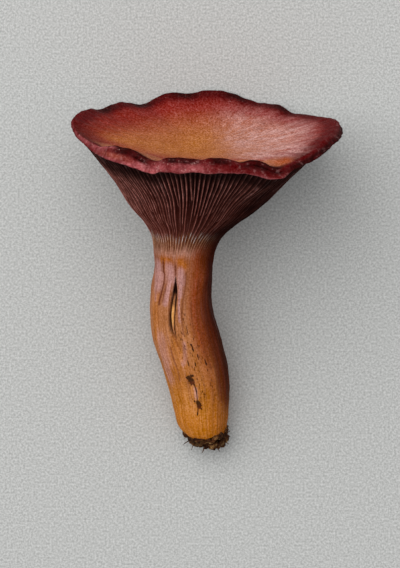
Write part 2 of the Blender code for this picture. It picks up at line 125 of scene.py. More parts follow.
# %% Smooth curves through the tables
def smooth(table, column, at, turn=None):
    """Read a smooth curve through one column of a table; turn closes it on itself."""
    s = np.array([row[0] for row in table], float)
    v = np.array([row[column] for row in table], float)
    if s[0] > s[-1]:
        s = s[::-1]
        v = v[::-1]
    at = np.asarray(at, float)
    if turn:
        s = np.concatenate([s[-2:] - turn, s, s[:2] + turn])
        v = np.concatenate([v[-2:], v, v[:2]])
        at = np.mod(at - s[1], turn) + s[1]
    at = np.clip(at, s[0], s[-1])
    slope = np.gradient(v, s)
    i = np.clip(np.searchsorted(s, at, side="right") - 1, 0, len(s) - 2)
    step = s[i + 1] - s[i]
    u = (at - s[i]) / step
    rise = v[i + 1] * (3 - 2 * u) * u * u + v[i] * (1 + 2 * u) * (1 - u) ** 2
    return rise + step * u * (1 - u) * (slope[i] * (1 - u) - slope[i + 1] * u)


def rim(column, angles):
    """Read one property of the waved margin at some angles."""
    return smooth(RIM, column, angles, turn=360)


def ease(u):
    """Go smoothly from 0 to 1."""
    u = np.clip(u, 0, 1)
    return u * u * (3 - 2 * u)


def bell(u):
    """1 at 0, falling softly to both sides."""
    return np.exp(-u ** 2)


def swing(angles, middle):
    """How far angles lie from another one, between -180 and 180 degrees."""
    return (angles - middle + 180) % 360 - 180


print("the margin reaches", round(float(RIM_RADIUS + rim(2, 116)), 1), "mm at the back left")

# %% [markdown]
# ## The half section
# A mushroom is nearly round, so half of its section, turned about its middle, gives the
# whole skin. Separate rings would do it too, but a drawn line that is spun is how it is done
# by hand. The line goes from the middle of the dish over the lip and down to the foot.

# %% Rows of the half section, closer together where the form bends more
DISH, LIP_ROLL, GILL, STALK = range(4)
dish_share = np.linspace(0, 1, 40) ** 0.8
lip_turn = np.linspace(0, len(LIP) - 1, 22)[1:]
gill_level = 100.15 - 42.6 * np.linspace(0, 1, 44) ** 1.1
stem_level = np.append(np.linspace(56.8, 3.0, 78), [2.2, 1.4, 0.6, 0.0, -0.5, -0.9, -1.2, -1.5])
LIP_SECTION = [(n, out, down) for n, (out, down) in enumerate(LIP)]

row_counts = [len(dish_share), len(lip_turn), len(gill_level), len(stem_level) + 1]
row_zone = np.repeat([DISH, LIP_ROLL, GILL, STALK], row_counts)
row_value = np.concatenate([dish_share, lip_turn, gill_level, stem_level, [FOOT_TIP]])
row_radius = np.concatenate([
    dish_share * RIM_RADIUS,
    RIM_RADIUS + smooth(LIP_SECTION, 1, lip_turn),
    smooth(CONE, 1, gill_level),
    smooth(STEM, 1, stem_level),
    [0.0]])
row_height = np.concatenate([
    RIM_HEIGHT - DISH_DEPTH * (1 - dish_share ** DISH_CURVE),
    RIM_HEIGHT + smooth(LIP_SECTION, 2, lip_turn),
    gill_level,
    stem_level,
    [FOOT_TIP]])
print("rows:", len(row_zone))


# %% Draw the half section by extruding one corner after another
def deselect_everything():
    """Leave object mode's selection empty before the next piece."""
    bpy.ops.object.select_all(action="DESELECT")


def edit_all(action="SELECT"):
    """Go into edit mode with everything selected, or nothing."""
    bpy.ops.object.mode_set(mode="EDIT")
    bpy.ops.mesh.select_all(action=action)


def leave_edit():
    """Go back to object mode."""
    bpy.ops.object.mode_set(mode="OBJECT")


def draw_half_section(name):
    """One corner, made from a small plane, is extruded along the whole outline."""
    points = np.stack([row_radius, 0 * row_radius, row_height], axis=1) * MM
    deselect_everything()
    bpy.ops.mesh.primitive_plane_add(size=MM)
    skin = bpy.context.object
    skin.name = name
    skin.data.name = name
    edit_all()
    bpy.ops.mesh.merge(type="CENTER")
    bpy.ops.transform.translate(value=points[0])
    for step in np.diff(points, axis=0):
        bpy.ops.mesh.extrude_vertices_move(TRANSFORM_OT_translate={"value": step})
    leave_edit()
    return skin, points


def read_vectors(items, name="co"):
    """The places or the normals of a mesh's vertices, one row each."""
    flat = np.empty(len(items) * 3)
    items.foreach_get(name, flat)
    return flat.reshape(-1, 3)


def add_mark(mesh, name, values):
    """Store a number or a vector for each vertex of a mesh, under a name."""
    kind, field = ("FLOAT", "value") if values.ndim == 1 else ("FLOAT_VECTOR", "vector")
    made = mesh.attributes.new(name, kind, "POINT")
    made.data.foreach_set(field, values.astype(np.float32).ravel())


skin, outline = draw_half_section("mushroom_flesh")
drawn = read_vectors(skin.data.vertices)
nearest = np.argmin(np.linalg.norm(drawn[:, None, :] - outline[None, :, :], axis=2), axis=1)
add_mark(skin.data, "row", nearest)
print("corners drawn:", len(drawn))

# %% [markdown]
# ## Turn the section and give the gills twice the columns
# Spin turns the line in 400 steps, five for each of the 80 long gills. A gill is only a
# few tenths of a millimetre thick, so the rows under the cap need twice as many columns
# as the smooth dish and stem do. Subdividing only the edges that run round those rows
# adds them where they are needed, and keeps the rest light.

# %% Spin, close the poles and subdivide the gill rows
GILLS = 80
SPUN_PER_GILL = 5
PER_GILL = 2 * SPUN_PER_GILL
edit_all()
bpy.ops.mesh.spin(steps=GILLS * SPUN_PER_GILL, angle=math.tau, center=(0, 0, 0), axis=(0, 0, 1))
bpy.ops.mesh.select_all(action="SELECT")
bpy.ops.mesh.remove_doubles(threshold=0.000001)
leave_edit()


def read_marks(mesh, name):
    """The values of a mesh's float attribute, one for each vertex."""
    values = np.empty(len(mesh.vertices), np.float32)
    mesh.attributes[name].data.foreach_get("value", values)
    return values


def ring_edges(mesh, first_row, last_row):
    """Edges that run round the mushroom between two rows."""
    ends = np.empty(len(mesh.edges) * 2, int)
    mesh.edges.foreach_get("vertices", ends)
    rows = read_marks(mesh, "row")[ends.reshape(-1, 2)]
    return (rows[:, 0] == rows[:, 1]) & (rows[:, 0] >= first_row) & (rows[:, 0] <= last_row)


first_gill_row = int(np.argmax(row_zone == GILL))
last_gill_row = int(np.argmax(row_zone == STALK)) - 1
edit_all("DESELECT")
bpy.ops.mesh.select_mode(type="EDGE")
leave_edit()
skin.data.edges.foreach_set("select", ring_edges(skin.data, first_gill_row, last_gill_row))
bpy.ops.object.mode_set(mode="EDIT")
bpy.ops.mesh.subdivide(number_cuts=1)
bpy.ops.mesh.select_all(action="SELECT")
bpy.ops.mesh.normals_make_consistent(inside=False)
leave_edit()
print("vertices of the turned skin:", len(skin.data.vertices))

# %% [markdown]
# ## Move every row and column to its real place
# The turned skin is still a plain round form. The margin's waves, the stem's bend, the
# gills and the split are all known as curves, so they are given to the vertices in code:
# each vertex knows its row and its angle, and the curves say where it belongs. Sculpting
# would be the way by hand, but it can't be repeated exactly.

# %% What each vertex is: its row's value, its zone and its angle
points = read_vectors(skin.data.vertices)
rows = np.rint(read_marks(skin.data, "row")).astype(int)
zone = row_zone[rows]
value = row_value[rows]
turned = np.degrees(np.arctan2(points[:, 1], points[:, 0])) % 360
turned[np.hypot(points[:, 0], points[:, 1]) < 0.01 * MM] = 0.0
in_dish, on_lip, on_gills, on_stem = [zone == kind for kind in (DISH, LIP_ROLL, GILL, STALK)]
print("vertices on dish, lip, gills, stem:", np.bincount(zone))


# %% The dish and the lip
def stand(radius, height, angles, level):
    """Points round the bent centre line as it stands; level is where the bend is read."""
    turn = np.radians(angles)
    x = smooth(BEND, 1, level) + radius * np.cos(turn)
    y = smooth(BEND, 2, level) + radius * np.sin(turn)
    return np.stack([x, y, height], axis=1)


def shape_dish(share, angles):
    """The hollow top of the cap, whose waves grow towards the rim."""
    radius = share * (RIM_RADIUS + rim(2, angles))
    height = RIM_HEIGHT - DISH_DEPTH * (1 - share ** DISH_CURVE) + rim(1, angles) * share ** 4
    return stand(radius, height, angles, np.full(len(share), RIM_HEIGHT))


def shape_lip(along, angles):
    """The rolled lip, from its crest over its swollen edge to its underside."""
    out = smooth(LIP_SECTION, 1, along)
    down = smooth(LIP_SECTION, 2, along)
    radius = RIM_RADIUS + rim(2, angles) + out * rim(3, angles)
    height = RIM_HEIGHT + rim(1, angles) + down * rim(4, angles)
    return stand(radius, height, angles, np.full(len(along), RIM_HEIGHT))


placed = np.zeros_like(points)
placed[in_dish] = shape_dish(value[in_dish], turned[in_dish])
placed[on_lip] = shape_lip(value[on_lip], turned[on_lip])
print("lip, highest, mm:", placed[on_lip, 2].max().round(2))

# %% [markdown]
# ## The gills
# Gills are thin plates that stand out from the flesh, run from the margin down onto the
# stem, and thin out in number on the way: a short gill starts between each two long ones
# at the margin, and some lean over and join a neighbour, as a fork. Ten columns make one
# long and one short gill: three for each crest, and two for each valley between them.

# %% Where the ten columns of a gill go round the cap
GILL_PHASES = np.array([0.0, 0.065, 0.16, 0.30, 0.435, 0.5, 0.565, 0.70, 0.84, 0.935])
GILL_SINKS = np.array([0.0, 0.16, 0.92, 1.0, 0.16, 0.0, 0.16, 1.0, 0.92, 0.16])
dice = np.random.default_rng(7)
short_end = 68.0 + 17.0 * dice.random(GILLS)
fork_side = dice.choice([-1.0, 0.0, 0.0, 0.0, 0.0, 0.0, 1.0], GILLS)
crest_low = 0.35 * dice.random(GILLS)
short_low = 0.05 + 0.35 * dice.random(GILLS)
lean = 0.08 * (dice.random(GILLS) - 0.5)

gill_turned = turned[on_gills]
gill_at = value[on_gills]
column = np.rint(gill_turned / 360 * GILLS * PER_GILL).astype(int) % (GILLS * PER_GILL)
gill = column // PER_GILL
part = column % PER_GILL


def on_short(part):
    """The three columns that make a short gill's crest."""
    return (part >= 4) & (part <= 6)


def gill_phase(gill, part, level):
    """How far round its own step of the cap a column stands, with forking short gills."""
    near = ease((short_end[gill] + 9 - level) / 9)
    middle = 0.5 + fork_side[gill] * 0.25 * near
    phase = GILL_PHASES[part].copy()
    crest = on_short(part)
    phase[crest] = (middle + GILL_PHASES[part] - 0.5)[crest]
    phase[part == 3] = (0.5 * (0.16 + middle - 0.065))[part == 3]
    phase[part == 7] = (0.5 * (0.84 + middle + 0.065))[part == 7]
    return phase + lean[gill] * ease((98 - level) / 8)


def waver(angles, level):
    """A slow sideways wander of the gills, in degrees, that never folds them over."""
    turn = np.radians(angles)
    waves = [(0.2, 7, 0.09, 0), (0.1, 13, -0.14, 1), (0.06, 22, 0.2, 2), (0.04, 31, -0.28, 4)]
    wander = sum(wide * np.sin(n * turn + climb * level + start) for wide, n, climb, start in waves)
    return wander * ease((GILLS_TOP - level) / 6) * ease((level - STEM_TOP) / 8)


blend_in = ease((100.6 - gill_at) / 1.6) * ease((gill_at - 57.0) / 3.5)
gill_step = (gill + gill_phase(gill, part, gill_at)) * 360.0 / GILLS
gill_angle = gill_turned + swing(gill_step, gill_turned) * blend_in
gill_angle += waver(gill_angle, gill_at)
print("short gills end from", short_end.min().round(1), "mm up")

# %% How deep each column is sunk below the gills' outer edges
SHORT_FADE = 3.0


def cone_surface(level, angles):
    """Radius and height of the gills' outer edges, under the waves of the lip."""
    edge_radius = RIM_RADIUS + rim(2, angles) + LIP[-1][0] * rim(3, angles)
    edge_height = RIM_HEIGHT + rim(1, angles) + LIP[-1][1] * rim(4, angles)
    share = ease((level - 80.0) / 20.4)
    radius = smooth(CONE, 1, level) + (edge_radius - CONE[0][1]) * share
    return radius, level + (edge_height - CONE[0][0]) * share


def sink_gills(level, gill, part):
    """Depth of a column: none on a crest, full in a valley, and a short gill fades out."""
    depth = 0.72 * smooth(GILL_DEPTH, 1, level)
    sunk = depth * GILL_SINKS[part]
    long_crest = (part == 0) | (part == 1) | (part == 9)
    sunk[long_crest] += (depth * 0.12 * crest_low[gill])[long_crest]
    short = on_short(part)
    gone = 1 - ease((level - short_end[gill]) / SHORT_FADE)
    start = np.maximum(GILL_SINKS[part], 0.5 * short_low[gill])
    sunk[short] = (depth * (start + (1 - start) * gone))[short]
    return sunk


radius, height = cone_surface(gill_at, gill_angle)
lower_radius, lower_height = cone_surface(gill_at - 0.2, gill_angle)
run = np.stack([lower_radius - radius, lower_height - height])
run = run / np.linalg.norm(run, axis=0)
sunk = sink_gills(gill_at, gill, part)
placed[on_gills] = stand(radius + run[1] * sunk, height - run[0] * sunk, gill_angle, gill_at)
turned[on_gills] = gill_angle % 360
print("deepest valley, mm:", sunk.max().round(2))

# %% How much each column is a pale gill edge
GILL_LIGHT = np.array([1.0, 0.2, 0.0, 0.0, 0.15, 0.9, 0.15, 0.0, 0.0, 0.2])
gill_edge = np.zeros(len(points))
still_there = np.where(on_short(part), ease((gill_at - short_end[gill]) / SHORT_FADE), 1.0)
still_there = np.maximum(still_there, 0.8 * ease((65.5 - gill_at) / SHORT_FADE))
gill_edge[on_gills] = GILL_LIGHT[part] * still_there
print("vertices on a gill's edge:", (gill_edge > 0.5).sum())

# %% [markdown]
# ## The stem
# The stem is a bent, slightly swollen column with shallow flutes. In its front a long,
# narrow split has opened, with two dark cuts along its edges and a paler strip of raised
# flesh between them. A Boolean could cut it, but moving the columns that are already
# there keeps the skin in one piece.

# %% Flutes: top, bottom, angle at each, width and depth; split: height, angle, half width
SPLIT_WIDEST = 6.2
SPLIT_DEEPEST = 1.9
FLUTES = [
    (62, 47, 228, 224, 6, 0.45), (40, 8, 245, 226, 12, 0.5), (38, 22, 256, 259, 9, 0.4),
    (56, 12, 330, 318, 14, 0.4), (60, 16, 60, 40, 15, 0.5), (58, 14, 130, 145, 15, 0.5),
    (52, 20, 186, 196, 12, 0.4)]
SPLIT = [
    (57.6, 254.5, 0), (54.4, 256, 2.4), (51.7, 257, 4.2), (47.5, 256, 5.6), (43, 253, 6.2),
    (39.8, 252, 5), (37.6, 253, 3), (35.8, 255.5, 0)]


def flute_depth(level, angles):
    """Shallow channels down the stem."""
    depth = np.zeros(len(angles))
    for top, bottom, from_angle, to_angle, width, deep in FLUTES:
        along = (top - level) / (top - bottom)
        away = swing(angles - from_angle, (to_angle - from_angle) * along)
        ends = ease((top - level) / 5) * ease((level - bottom) / 5)
        depth += deep * ends * bell(away / width)
    return depth


def split_across(level, angles):
    """Where a point lies across the split: 0 in its middle, 1 at its edge, more outside it."""
    inside = (level < SPLIT[0][0]) & (level > SPLIT[-1][0])
    opening = np.where(inside, np.maximum(smooth(SPLIT, 2, level), 0.05), 0.05)
    away = swing(angles, smooth(SPLIT, 1, level))
    return np.where(inside, away / opening, 99.0), opening


def split_depth(level, angles):
    """A deep cut along the split's left edge, a slight one along its right, a gash on top."""
    across, opening = split_across(level, angles)
    left = SPLIT_DEEPEST * bell((across + 0.68) / 0.34)
    right = 1.0 * bell((across - 0.78) / 0.17)
    floor = 0.55 * np.clip(1.1 - np.abs(across), 0, 1)
    gash = 1.8 * np.clip(1.05 - across ** 2, 0, 1) * ease((level - 49.5) / 1.5)
    deep = np.minimum(np.maximum(left + right + floor, gash), SPLIT_DEEPEST)
    return deep * np.sqrt(np.clip(opening / SPLIT_WIDEST, 0, 1)) * (np.abs(across) < 1.4)


def draw_together(level, angles):
    """Columns drawn closer beside the split, so that its edges stay crisp."""
    across, opening = split_across(level, angles)
    away = swing(angles, smooth(SPLIT, 1, level))
    pull = 0.45 * np.clip(opening / SPLIT_WIDEST, 0, 1) * (across < 90)
    return angles - pull * away * bell(away / 20)


def shape_stem(level, angles):
    """The bent stem with its flutes and its split, down to the rounded foot."""
    radius = smooth(STEM, 1, level) - flute_depth(level, angles) - split_depth(level, angles)
    radius = np.where(level <= FOOT_TIP, 0.0, np.maximum(radius, 0.0))
    return stand(radius, level, angles, level)


stem_at = value[on_stem]
turned[on_stem] = draw_together(stem_at, turned[on_stem])
placed[on_stem] = shape_stem(stem_at, turned[on_stem])
print("stem, widest, mm:", np.ptp(placed[on_stem, 0]).round(1))

# %% [markdown]
# ## Fine relief
# Living flesh isn't smooth. The dish has faint radial wrinkles, the lip is beaded and has
# hollows under its crest, and the stem is fibrous. Each is a depth of a tenth of a millimetre
# to over one, and moves the skin along its own normals.

# %% Noise that is drawn out along the flesh
def grain(across, along, seed):
    """Noise that is as fine round the mushroom as across says, and lengthways as along."""
    turn = np.radians(turned)
    lengthways = placed[:, 2] + 0.6 * np.hypot(placed[:, 0], placed[:, 1])
    at = [np.cos(turn) * across, np.sin(turn) * across, lengthways * along + seed]
    return np.array([noise.noise(Vector(spot)) for spot in np.stack(at, axis=1)])


def speckle(size, seed):
    """Round noise with lumps of about the given size in millimetres."""
    return np.array([noise.noise(Vector(spot / size + seed)) for spot in placed])


def between(angle, start, end, soft=3.0):
    """1 between two angles, with soft ends."""
    middle = (start + end) / 2
    half = (end - start) / 2
    return 1 - ease((np.abs(swing(angle, middle)) - half + soft) / (2 * soft))


fibres = grain(9.0, 0.1, 3.0)
wrinkles = grain(14.0, 0.06, 11.0)
lumps = speckle(2.6, 5.0)
pimples = speckle(0.9, 9.0)
print("noise spans:", fibres.min().round(2), fibres.max().round(2))

# %% Depths of the relief in each zone, in millimetres
SCALLOPS = [
    (229, 245, 1.4), (253, 267, 1), (272, 279, 0.9), (285, 303, 1.6), (308, 318, 0.5),
    (196, 206, 0.3), (330, 345, 0.35), (100, 112, 0.3), (60, 72, 0.3)]
lip_along = np.where(on_lip, value, 0.0)
hollow = np.zeros(len(points))
for start, end, deep in SCALLOPS:
    hollow += deep * between(turned, start, end, 4.0) * bell((lip_along - 1.8) / 1.3) * on_lip
share = np.where(in_dish, value, 0.0)
relief = np.zeros(len(points))
relief += in_dish * (0.30 * wrinkles * share ** 1.5 + 0.22 * lumps * share)
beaded = 0.34 * lumps + 0.14 * pimples + 0.04 * wrinkles
relief += on_lip * beaded * np.clip(lip_along / 1.5, 0, 1) - hollow
relief += on_gills * 0.1 * lumps * ease((gill_edge - 0.5) * 4)
relief += on_stem * (0.22 * fibres + 0.12 * lumps) * ease((placed[:, 2] + 1.5) / 3)


# %% Move the skin by its relief
def move_points(mesh, places):
    """Put a mesh's vertices at places given in millimetres."""
    mesh.vertices.foreach_set("co", (places * MM).ravel())
    mesh.update()


move_points(skin.data, placed)
placed += read_vectors(skin.data.vertex_normals, "vector") * relief[:, None]
print("relief, mm:", relief.min().round(2), relief.max().round(2))

# %% [markdown]
# ## Lay the mushroom down
# The mushroom lies on a table with its front up, resting on two lobes of its margin and on
# its foot, which its own weight presses a little flat. The same turn and the same flat
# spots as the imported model's are used, and its box gives the place.

# %% Turn, place and press flat
LEAN = 19.0
PRESSED = 0.62


def lay_down(points):
    """Turn points from the standing mushroom to the lying one: front up, cap towards +Y."""
    cos, sin = math.cos(math.radians(LEAN)), math.sin(math.radians(LEAN))
    x, y, z = points.T
    return np.stack([x, z * cos + y * sin, z * sin - y * cos], axis=1)


body_low, body_high = [np.array(corner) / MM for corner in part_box("fruit_body")]
lying = lay_down(placed)
fit = np.minimum((body_high - body_low)[:2] / np.ptp(lying, axis=0)[:2], 1.0).min()
lying *= fit
place = (body_low + body_high) / 2 - (lying.min(axis=0) + lying.max(axis=0)) / 2
place[2] = -PRESSED - lying[:, 2].min()
lying += place
lying[:, 2] = np.clip(lying[:, 2], 0.0, body_high[2])
move_points(skin.data, lying)
print("scaled by", fit.round(4), "placed by", place.round(3), "mm")

# %% [markdown]
# ## Colour marks on the skin
# The colours follow the form: ochre in the middle of the dish, wine red towards the
# margin, pale edges on the gills. A photograph of the mushroom could be wrapped round it,
# but then it would only look right from one side. Here each vertex gets numbers that say
# how much of each pigment lies there, and how much painted shade and painted highlight,
# and the material breaks their borders with noise.

# %% Helpers for the marks
skin_marks = {}
turn_cos = np.cos(np.radians(turned))
turn_sin = np.sin(np.radians(turned))
below_cap = on_gills | on_stem
level = np.where(below_cap, value, RIM_HEIGHT)


def mark(name, amount):
    """Store how much of something lies on each vertex, from 0 to 1."""
    amount = np.clip(amount, 0, 1)
    add_mark(skin.data, name, amount)
    skin_marks[name] = round(float(amount.mean()), 3)


def sector(start, end, soft=3.0):
    """1 between two angles round the mushroom, with soft ends."""
    return between(turned, start, end, soft)


def above(height, over):
    """0 up to a height under the cap, and 1 from so many millimetres above it."""
    return ease((level - height) / over)


def under(height, over):
    """0 down to a height under the cap, and 1 from so many millimetres below it."""
    return ease((height - level) / over)


print("vertices to paint:", len(points))

# %% The run along the section, and the coordinates of the grain
front = np.clip(-turn_sin, 0, 1)
run_along = np.zeros(len(points))
run_along[in_dish] = 0.25 * value[in_dish]
run_along[on_lip] = 0.25 + 0.10 * value[on_lip] / (len(LIP) - 1)
run_along[on_gills] = 0.35 + 0.30 * (GILLS_TOP - value[on_gills]) / (GILLS_TOP - STEM_TOP)
run_along[on_stem] = 0.65 + 0.35 * (STEM_TOP - value[on_stem]) / (STEM_TOP - FOOT_TIP)
run_along -= 0.019 * (1 - front) * below_cap * above(60, 5) * under(92, 10)
mark("run_along", run_along)
mark("dish_zone", in_dish * 1.0)
mark("lip_zone", on_lip * 1.0)
mark("under_cap", below_cap * 1.0)
mark("gill_edge", gill_edge)
mark("tip_light", on_gills * (0.45 + 0.55 * sector(253, 290, 4) + 0.3 * sector(60, 130, 10)))
length = np.where(on_lip, RIM_RADIUS + lip_along, 51 + (GILLS_TOP - level) * 1.1)
length = np.where(in_dish, share * RIM_RADIUS, length)
widening = np.where(in_dish, share ** 0.35, 1.0)
grain_at = np.stack([turn_cos * widening, turn_sin * widening, length / 40], axis=1)
add_mark(skin.data, "grain_at", grain_at)
print("marks so far:", list(skin_marks))

# %% [markdown]
# The dish is painted in soft pools, and the lip in short bands. Each is one row of a table:
# how strong it is, where it lies and how far it reaches.

# %% Pools in the dish: strength, x, y, width and depth in millimetres
POOLS = {
    "ochre": [(0.9, -1, 2, 7, 18), (0.7, -16, -3, 15, 12), (0.35, -29, -3, 5, 7),
        (0.3, 8, -12, 18, 9)],
    "rust": [(0.6, -10, 30, 16, 9), (0.8, -26, 20, 10, 9), (0.3, 36, 2, 6, 20),
        (0.25, 12, 34, 14, 6), (0.4, -31, 8, 5, 9)],
    "lilac_and_sheen": [(0.95, 21, 4, 12, 14), (0.5, 26, 4, 8, 14), (0.45, 12, 24, 9, 9),
        (0.9, 17, -17, 10, 9), (0.45, 10, 8, 6, 14), (0.75, 26, -20, 7, 8), (0.15, 33, -8, 5, 9)],
    "ember": [(1, 23.5, -30.5, 3.5, 2.6), (0.5, 15, -36, 6, 2)],
    "wine_red_and_shade": [(0.5, -41, 6, 6, 18)]}
dish_x = share * RIM_RADIUS * turn_cos
dish_y = share * RIM_RADIUS * turn_sin


def pool(strength, x, y, wide, deep):
    """A soft patch in the dish, seen from above."""
    return strength * in_dish * np.exp(-((dish_x - x) / wide) ** 2 - ((dish_y - y) / deep) ** 2)


pools = {name: sum(pool(*row) for row in rows) for name, rows in POOLS.items()}
print("pools:", list(pools))

# %% Bands on the lip: strength, two angles, two places along its section and softness
# The wine red bands also carry painted shade, the dark bands are painted shade, the rose bands
# carry a painted highlight, and the pale dots are painted glints.
BANDS = {
    "wine_red_and_shade": [(0.55, 283, 306, 0, 5.6), (0.6, 277, 286, 2, 5), (0.9, 305, 345, 0, 2.5, 8),
        (0.5, 60, 190, 0.3, 9, 8), (0.5, 268, 284, 0.5, 4), (0.45, 186, 216, 1, 9, 8)],
    "lip_and_rim_shade": [(1, 229, 245, -1, 2.9), (0.95, 252, 267, -1, 2.6), (1, 271, 280, -1, 3),
        (1, 305, 365, 1.4, 9.5, 5), (0.8, 0, 60, 3, 9, 6), (0.8, 285, 303, -1, 3.8),
        (0.15, 283, 312, 1, 5)],
    "rose_and_highlight": [(0.9, 221, 240, 4.6, 7), (1, 239, 248, 3, 7), (1, 266, 306, 5.6, 7.2),
        (0.45, 188, 222, 0.5, 4), (0.8, 216, 230, -0.5, 1.2), (0.6, 246, 272, 2, 6.5)],
    "blush": [(0.6, 222, 238, 2.8, 4.8, 5)],
    "painted_glints": [(1, 190, 232, -0.5, 1.6), (0.4, 205, 244, 4.5, 7), (0.45, 246, 274, 1, 6),
        (0.2, 10, 190, 0.5, 6, 8)]}


def lip_band(strength, start, end, low, high, soft=3.0):
    """A patch on the lip between two angles and two places along its section."""
    off_middle = (lip_along - (low + high) / 2) / ((high - low) / 2)
    return strength * (on_lip * sector(start, end, soft) * np.exp(-off_middle ** 4))


bands = {name: sum(lip_band(*row) for row in rows) for name, rows in BANDS.items()}
print("bands:", list(bands))

# %% Pigments of the dish and the lip, with painted shade, sheen and highlights
ring = in_dish * ease((share - 0.86) / 0.1)
crest = in_dish * ease((share - 0.965) / 0.02)
# Painted shade under the lip's crest, in the dips along the back rim and on the lip's underside.
crest_shade = (0.9 * sector(221, 245, 4) + 0.8 * sector(251, 268, 3) + sector(272, 279, 2)
               + sector(283, 304, 3))
dips = np.max([sector(dip - 5, dip + 5, 4) for dip in (54, 76, 100, 121, 143)], axis=0)
back_rim_shade = in_dish * (0.42 * sector(30, 155, 10) + 0.58 * dips) * ease((share - 0.9) / 0.07)
underside = on_lip * ease((lip_along - 7.2) / 0.8)
mark("ochre", pools["ochre"])
mark("rust", pools["rust"])
# The pale lilac patch on the right of the dish is partly the cap's own pale tone and partly a
# painted sheen.
mark("lilac_and_sheen", pools["lilac_and_sheen"] * ease((40 - dish_x) / 9))
mark("ember", pools["ember"])
mark("sand", in_dish * sector(207, 310, 7) * ease((share - 0.74) / 0.08) * (1 - crest))
red_ring = ring * (sector(10, 175, 14) + sector(325, 372, 12))
# The wine red is the margin's own colour; at the left of the dish and on the lip's back, right side
# and hollows it is painted shade as well.
mark("wine_red_and_shade", pools["wine_red_and_shade"] + red_ring + bands["wine_red_and_shade"])
# Painted shade: the lip's hollows and turned-away sides, the back rim and the lip's underside.
mark("lip_and_rim_shade", bands["lip_and_rim_shade"] + crest * crest_shade + 0.95 * back_rim_shade + underside)
# The rose bands are the lip's own pink with a painted highlight on its crest and swollen lower
# edge.
for name in ("rose_and_highlight", "blush", "painted_glints"):
    mark(name, bands[name])
print("marks with the cap:", len(skin_marks))

# %% [markdown]
# The stem's colours run in separate streaks, so they get strokes. Each is a line through a
# few corners, with a width in millimetres and a strength.

# %% Strokes on the stem: width, strength, and the angle and height of each corner
MAUVE_STROKES = [
    (2.3, 1, 210, 59, 214, 56, 216, 52.5), (1, 0.7, 211, 53, 214, 48), (2, 1, 242, 59.6, 246, 55.5),
    (1.1, 1, 246, 55.5, 243, 51, 240, 47.5), (1.5, 1, 264, 58.4, 268, 54.5),
    (1.1, 0.9, 268, 54.5, 268, 50.5), (0.5, 0.9, 266.5, 50, 266, 42),
    (0.9, 0.9, 189, 62, 196, 57, 203, 54), (2.6, 0.55, 227, 36, 222, 28, 216, 21),
    (0.8, 0.6, 268, 35, 263, 30, 257, 27.5), (0.7, 0.8, 267, 19.5, 266.5, 16),
    (2.6, 0.6, 60, 56, 50, 40), (2.4, 0.6, 120, 50, 126, 30), (2, 0.5, 160, 40, 170, 20)]
UPPER_OCHRE_STROKES = [
    (1, 1, 221, 61.4, 232, 61.8, 244, 61.2), (1.3, 1, 262, 61.8, 270, 60.2)]
OCHRE_STROKES = UPPER_OCHRE_STROKES + [
    (1.7, 0.8, 214, 48.6, 215.5, 42, 211, 35.2), (0.9, 0.7, 250, 36.5, 255, 32.7, 258, 27.3),
    (1.4, 0.4, 243, 33, 239, 24, 236, 14), (3, 0.6, 90, 44, 100, 20), (2, 0.5, 30, 50, 25, 30)]
BROWN_LINES = [
    (0.42, 1, 226, 61.5, 227, 56.5, 231, 54, 228, 50.5, 226, 47),
    (0.4, 0.9, 253, 60.5, 254.5, 57.5), (0.3, 0.6, 275, 58, 276, 52, 272, 46, 270, 38),
    (0.3, 0.6, 238, 53, 233, 48), (0.35, 0.6, 241, 33, 240, 28, 242, 25, 238, 21.5),
    (0.35, 0.5, 250, 37.5, 258, 33), (0.6, 0.5, 303, 55, 300, 40, 302, 26),
    (0.7, 0.6, 318, 52, 315, 34, 318, 14), (0.4, 0.4, 290, 48, 288, 38),
    (0.8, 0.7, 330, 50, 330, 30, 332, 12), (0.6, 0.5, 140, 55, 150, 30), (0.6, 0.5, 75, 52, 70, 25),
    (0.6, 0.5, 20, 54, 14, 24)]
FLECKS = [
    (0.24, 1, 277, 34.9, 280, 34.2, 280.5, 32.3), (0.2, 1, 285.5, 31.2, 285.3, 29.7),
    (0.24, 1, 296, 29.3, 295.3, 27.1), (0.2, 1, 278, 28.7, 276.6, 27.2),
    (0.18, 1, 266.5, 29.3, 265.6, 27.2), (1.05, 1, 259.5, 23, 262, 22.4, 260.5, 21.8),
    (0.24, 1, 257, 23.6, 268, 24), (0.26, 1, 262, 22, 259.5, 20.6),
    (0.26, 1, 263, 22, 266, 20.6, 266.9, 18.4), (0.16, 1, 266.9, 18.4, 266, 15.4, 265, 14.2),
    (0.85, 1, 266.5, 14.4, 269, 13.4, 267.5, 12.8), (0.28, 1, 257.5, 15.4, 262, 14.4, 266, 14.2),
    (0.28, 1, 272.5, 12.2, 268, 13), (0.26, 1, 266, 12.8, 262.8, 10), (0.3, 1, 35, 24, 33, 21),
    (0.3, 1, 150, 30, 152, 27), (0.3, 1, 85, 18, 88, 15), (0.25, 1, 120, 44, 121, 42)]
flesh_radius = np.where(on_stem, 10.0, 11.0)


def stroke(wide, strength, *corners):
    """A brush stroke under the cap through some angles and heights."""
    corners = list(zip(corners[::2], corners[1::2]))
    nearest = np.full(len(points), 99.0)
    for (angle_a, level_a), (angle_b, level_b) in zip(corners, corners[1:] + corners[-1:]):
        x = np.radians(swing(turned, angle_a)) * flesh_radius
        y = level - level_a
        along_x = math.radians(angle_b - angle_a) * 10.0
        along_y = level_b - level_a
        longest = max(along_x ** 2 + along_y ** 2, 1e-9)
        along = np.clip((x * along_x + y * along_y) / longest, 0, 1)
        nearest = np.minimum(nearest, np.hypot(x - along_x * along, y - along_y * along))
    return strength * below_cap * bell(nearest / wide)


def all_strokes(strokes):
    """Several strokes of one pigment; the strongest one counts where they cross."""
    return np.max([stroke(*one) for one in strokes], axis=0)


